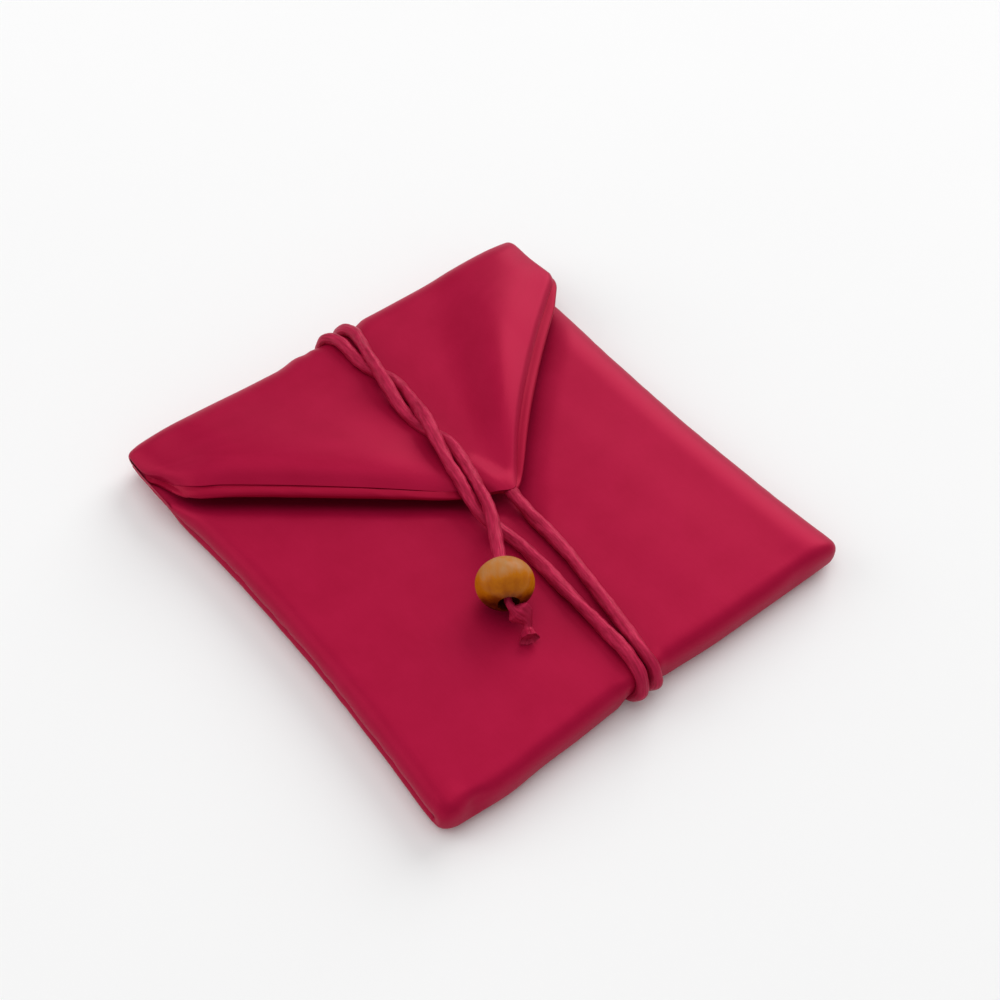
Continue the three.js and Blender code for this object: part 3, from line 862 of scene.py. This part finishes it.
# The lining is thicker where the flap stands off, and has a wrinkled, raised band along the left edge
def make_lining():
    stations = Stations(MIDDLE_COLUMNS, LINING_ROLL_COLUMNS)
    strip = Strip(stations, WALL + LAYER_GAP, FACING_PROUD, LINING_ROWS, LINING_FREE_BACK_ROWS)
    x, y, z = (strip.points[:, :, k] for k in range(3))
    distance = edge_distance(strip)
    rows = np.arange(len(strip.points))[:, None]
    lift = np.clip(z - (FLAP_TOP - WALL - LAYER_GAP), 0, LEFT_LIFT) / LEFT_LIFT
    full = LINING_WALL + np.where(rows <= strip.fold_row, LINING_LOFT * lift, 0)
    edge = rolled(distance, np.where(x < 4, *LINING_EDGE_WIDTHS))
    waves = np.sin(1.5 * x + 0.9 * y + 2 * np.sin(0.4 * x))
    wrinkles = waves * hill(x, *WRINKLES_ACROSS) * hill(distance, *WRINKLES_FROM_EDGE)
    band = 1 - smoothstep(distance, *BAND_WIDTH)
    band *= (1 - smoothstep(x, *BAND_TO_RIGHT)) * smoothstep(x, *BAND_FROM_LEFT)
    drop = LINING_EDGE_DROP * full * edge + WRINKLE * wrinkles - LINING_BAND * band
    thickness = full * (1 - LINING_EDGE_THINNING * edge)
    return make_layer("pouch_lining", strip, thickness, drop)


# Bead: a turned barrel with a bore along the cord


def from_axis(places):
    return np.hypot(places[:, 0], places[:, 1])


def make_bead():
    half = BEAD_LENGTH / 2 * MM
    crown = BEAD_WIDTH / 2 * MM
    bore = BEAD_BORE / 2 * MM
    rim = BEAD_RIM * MM
    face = bore + rim
    bpy.ops.object.select_all(action="DESELECT")
    bpy.ops.mesh.primitive_uv_sphere_add(segments=72, ring_count=48, radius=crown)
    piece = bpy.context.object
    piece.name = piece.data.name = "bead_turned"
    cut_bore(piece, face)

    # The sphere is shortened to a barrel, and its bore narrows inwards from rounded rims
    places = vertex_places(piece)
    out = from_axis(places)
    places[:, 2] *= half / (math.sqrt(1 - (face / crown) ** 2) * crown)
    inside = out < face * 1.02
    deep = np.clip((half - np.abs(places[:, 2])) / rim, 0, 1)
    wanted = lerp(face, bore, np.sqrt(1 - (1 - deep) ** 2))
    scale = np.where(inside, wanted / np.maximum(out, 1e-6), 1)
    angle = np.arctan2(places[:, 1], places[:, 0])
    wobble = 1 + 0.008 * np.sin(2 * angle + 0.7) + 0.006 * np.sin(3 * angle + places[:, 2] * 400)
    places[:, :2] *= (scale * np.where(inside, 1, wobble))[:, None]
    piece.data.vertices.foreach_set("co", places.ravel())

    piece.rotation_euler = BORE_WAY.to_track_quat("Z", "Y").to_euler()
    piece.location = BEAD * MM
    bpy.ops.object.select_all(action="DESELECT")
    piece.select_set(True)
    bpy.context.view_layer.objects.active = piece
    bpy.ops.object.transform_apply(location=True, rotation=True, scale=True)
    bpy.ops.object.mode_set(mode="EDIT")
    bpy.ops.mesh.select_all(action="SELECT")
    bpy.ops.mesh.normals_make_consistent(inside=False)
    bpy.ops.object.mode_set(mode="OBJECT")
    bpy.ops.object.shade_smooth_by_angle(angle=math.radians(60))
    return piece


# Both poles of the sphere are taken off, and the two holes joined by the bore's wall
def cut_bore(piece, face):
    out = from_axis(vertex_places(piece))
    bpy.ops.object.mode_set(mode="EDIT")
    bpy.ops.mesh.select_all(action="DESELECT")
    bpy.ops.object.mode_set(mode="OBJECT")
    for vertex, away in zip(piece.data.vertices, out):
        vertex.select = bool(away < face * 0.98)
    bpy.ops.object.mode_set(mode="EDIT")
    bpy.ops.mesh.delete(type="VERT")
    bpy.ops.mesh.select_all(action="DESELECT")
    bpy.ops.mesh.select_non_manifold()
    bpy.ops.mesh.bridge_edge_loops(number_cuts=8)
    bpy.ops.object.mode_set(mode="OBJECT")


# Materials


class Value:
    """A number from a shader socket: arithmetic on it adds Math nodes."""

    def __init__(self, finish, socket):
        self.finish = finish
        self.socket = socket

    def math(self, operation, first, second):
        return self.finish.node("ShaderNodeMath", {"operation": operation}, {0: first, 1: second})

    def __add__(self, other):
        return self.math("ADD", self, other)

    __radd__ = __add__

    def __sub__(self, other):
        return self.math("SUBTRACT", self, other)

    def __rsub__(self, other):
        return self.math("SUBTRACT", other, self)

    def __mul__(self, other):
        return self.math("MULTIPLY", self, other)

    __rmul__ = __mul__


class Finish:
    """A node material under making."""

    def __init__(self, name):
        self.material = bpy.data.materials.new(name)
        self.material.use_nodes = True
        self.tree = self.material.node_tree
        self.tree.nodes.clear()

    def node(self, kind, settings, inputs, output=0):
        node = self.tree.nodes.new(kind)
        for name, setting in settings.items():
            if name == "stops":
                while len(node.color_ramp.elements) < len(setting):
                    node.color_ramp.elements.new(1)
                for element, (place, colour) in zip(node.color_ramp.elements, setting):
                    element.position = place
                    element.color = (*colour, 1)
            else:
                setattr(node, name, setting)
        for key, value in inputs.items():
            if isinstance(value, Value):
                self.tree.links.new(value.socket, node.inputs[key])
            else:
                node.inputs[key].default_value = value
        return Value(self, node.outputs[output]) if node.outputs else None

    def cloth_map(self):
        return self.node("ShaderNodeUVMap", {"uv_map": "UVMap"}, {})

    def object_place(self):
        return self.node("ShaderNodeTexCoord", {}, {}, "Object")

    def noise(self, place, scale, detail, roughness=0.5):
        spread = self.node("ShaderNodeMapping", {}, {"Vector": place, "Scale": scale})
        inputs = {"Vector": spread, "Scale": 1.0, "Detail": detail, "Roughness": roughness}
        return self.node("ShaderNodeTexNoise", {}, inputs)

    def axis(self, place, name):
        return self.node("ShaderNodeSeparateXYZ", {}, {"Vector": place}, name)

    def step(self, value, low, high):
        inputs = {"Value": value, "From Min": low, "From Max": high}
        return self.node("ShaderNodeMapRange", {"interpolation_type": "SMOOTHSTEP"}, inputs)

    def mix(self, factor, first, second):
        inputs = {"Factor": factor, 6: (*first, 1), 7: (*second, 1)}
        return self.node("ShaderNodeMix", {"data_type": "RGBA"}, inputs, 2)

    def bump(self, height, strength, distance):
        inputs = {"Height": height, "Strength": strength, "Distance": distance * MM}
        return self.node("ShaderNodeBump", {}, inputs)

    def surface(self, **inputs):
        named = {key.replace("_", " ").title().replace("Ior", "IOR"): value for key, value in inputs.items()}
        shader = self.node("ShaderNodeBsdfPrincipled", {}, named)
        self.node("ShaderNodeOutputMaterial", {}, {"Surface": shader})
        return self.material


def linear(red, green, blue):
    """A colour given from 0 to 255 as the eye sees it, in the shader's own scale."""
    parts = [c / 255 for c in (red, green, blue)]
    return tuple(c / 12.92 if c <= 0.04 else ((c + 0.055) / 1.055) ** 2.4 for c in parts)


SATIN_SHEEN = (1.0, 0.62, 0.75, 1)


def satin(name, dark, light):
    finish = Finish(name)
    cloth = finish.cloth_map()
    floats = finish.noise(cloth, (55, 2.4, 1), 2)
    wefts = finish.noise(cloth, (3, 48, 1), 2)
    mottle = finish.noise(cloth, (1.1, 1.1, 1), 4, 0.6)
    shade = 0.5 + 0.4 * (floats - 0.5) + 0.2 * (wefts - 0.5) + 0.8 * (mottle - 0.5)
    return finish.surface(
        base_color=finish.mix(shade, dark, light),
        roughness=0.42 + 0.1 * (floats - 0.5) + 0.12 * (mottle - 0.5),
        normal=finish.bump(0.6 * floats + 0.4 * wefts, 0.1, 0.25),
        metallic=0.24,
        specular_ior_level=0.1,
        specular_tint=SATIN_SHEEN,
    )


def cord_satin(name, dark, light):
    finish = Finish(name)
    cloth = finish.cloth_map()
    threads = finish.noise(cloth, (15, 3.6, 1), 3, 0.6)
    strands = finish.noise(cloth, (24, 1.3, 1), 2)
    shade = 0.5 + 1.2 * (threads - 0.5) + 0.9 * (strands - 0.5)
    return finish.surface(
        base_color=finish.mix(shade, dark, light),
        roughness=0.42 + 0.2 * (threads - 0.5),
        normal=finish.bump(0.7 * threads + 0.4 * strands, 0.45, 0.6),
        metallic=0.25,
        specular_ior_level=0.2,
        specular_tint=SATIN_SHEEN,
    )


# Amber wood with grain and tone; towards its lower end a painted shade darkens it to dark brown, and towards
# its upper end a painted highlight turns it pale tan
def varnished_wood(name):
    finish = Finish(name)
    turned = finish.node(
        "ShaderNodeMapping",
        {"vector_type": "TEXTURE"},
        {
            "Vector": finish.object_place(),
            "Location": BEAD * MM,
            "Rotation": BORE_WAY.to_track_quat("Z", "Y").to_euler(),
        },
    )
    grain = finish.noise(turned, (900, 900, 260), 3, 0.6)
    tone = finish.noise(turned, (260, 260, 120), 2)
    # Painted shade on the bead's lower side and a painted highlight on its upper side, set along a slant
    # between the bore and the upright
    upper = 0.79 * finish.axis(turned, "Z") + 0.62 * finish.axis(turned, "Y")
    painted_shade = finish.step(upper, -0.8 * MM, -3.5 * MM)
    painted_highlight = finish.step(upper, 0.4 * MM, 3.0 * MM)
    shade = 0.3 * grain + 0.4 * tone + 0.19 - 0.48 * painted_shade + 0.18 * painted_highlight
    # The darkest stop is the painted shade's brown, the palest stop the painted highlight's tan
    stops = [
        (0.0, linear(66, 15, 0)),
        (0.22, linear(112, 42, 0)),
        (0.42, linear(164, 84, 2)),
        (0.6, linear(186, 106, 4)),
        (0.85, linear(174, 128, 84)),
    ]
    return finish.surface(
        base_color=finish.node("ShaderNodeValToRGB", {"stops": stops}, {"Fac": shade}),
        roughness=0.45 + 0.12 * (grain - 0.5),
        normal=finish.bump(grain, 0.1, 0.2),
        specular_ior_level=0.0,
        coat_weight=0.3,
        coat_roughness=0.25,
    )


def pale_floor():
    finish = Finish("pale_floor")
    mottle = finish.noise(finish.object_place(), (9, 9, 9), 2)
    return finish.surface(
        base_color=finish.mix(mottle, (0.95, 0.95, 0.95), (0.97, 0.97, 0.97)),
        roughness=0.9,
        specular_ior_level=0.0,
    )


# Studio: a pale floor under three soft lights, in metres and watts


def area_light(name, direction, distance, size, energy):
    way = Vector(direction).normalized()
    turn = way.to_track_quat("Z", "Y").to_euler()
    bpy.ops.object.light_add(type="AREA", location=way * distance, rotation=turn)
    light = bpy.context.object
    light.name = name
    light.data.shape = "DISK"
    light.data.size = size
    light.data.energy = energy


def make_studio():
    bpy.ops.object.select_all(action="DESELECT")
    bpy.ops.mesh.primitive_plane_add(size=6, location=(0, 0, 0))
    floor = bpy.context.object
    floor.name = floor.data.name = "floor"
    floor.data.materials.append(pale_floor())
    area_light("key_softbox", (0.8, 0.3, 0.5), distance=2.5, size=2.0, energy=32.0)
    area_light("fill_softbox", (-0.65, 0.65, 0.42), distance=2.5, size=2.0, energy=14.0)
    area_light("top_softbox", (0.0, 0.1, 1.0), distance=2.5, size=2.4, energy=15.0)
    world = bpy.data.worlds.new("studio")
    bpy.context.scene.world = world
    world.use_nodes = True
    background = world.node_tree.nodes["Background"]
    background.inputs["Color"].default_value = (1, 1, 1, 1)
    background.inputs["Strength"].default_value = 0.48
    bpy.context.scene.view_settings.view_transform = "Standard"


def finish_piece(piece, material, body, node):
    piece.data.materials.clear()
    piece.data.materials.append(material)
    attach(piece, body)
    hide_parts(node)


# The pouch is put together

place_camera()
cord, cord_line, cord_length = make_cord()
knot = make_knot()
bead = make_bead()
shell = make_shell()
lining = make_lining()

crimson = satin("crimson_satin", linear(158, 9, 49), linear(176, 19, 63))
crimson_lining = satin("crimson_lining", linear(150, 6, 42), linear(168, 14, 55))
crimson_cord = cord_satin("crimson_cord", linear(136, 8, 40), linear(200, 36, 80))

finish_piece(cord, crimson_cord, "pouch", "tie_cord")
finish_piece(knot, crimson_cord, "pouch", "stopper_knot")
finish_piece(bead, varnished_wood("amber_wood"), "bead", "bead")
finish_piece(shell, crimson, "pouch", "outer_shell")
finish_piece(lining, crimson_lining, "pouch", "lining")

tuple(cord_line[0] * MM)
cord_length * MM
[tuple(p) for p in cord_line * MM]

make_studio()
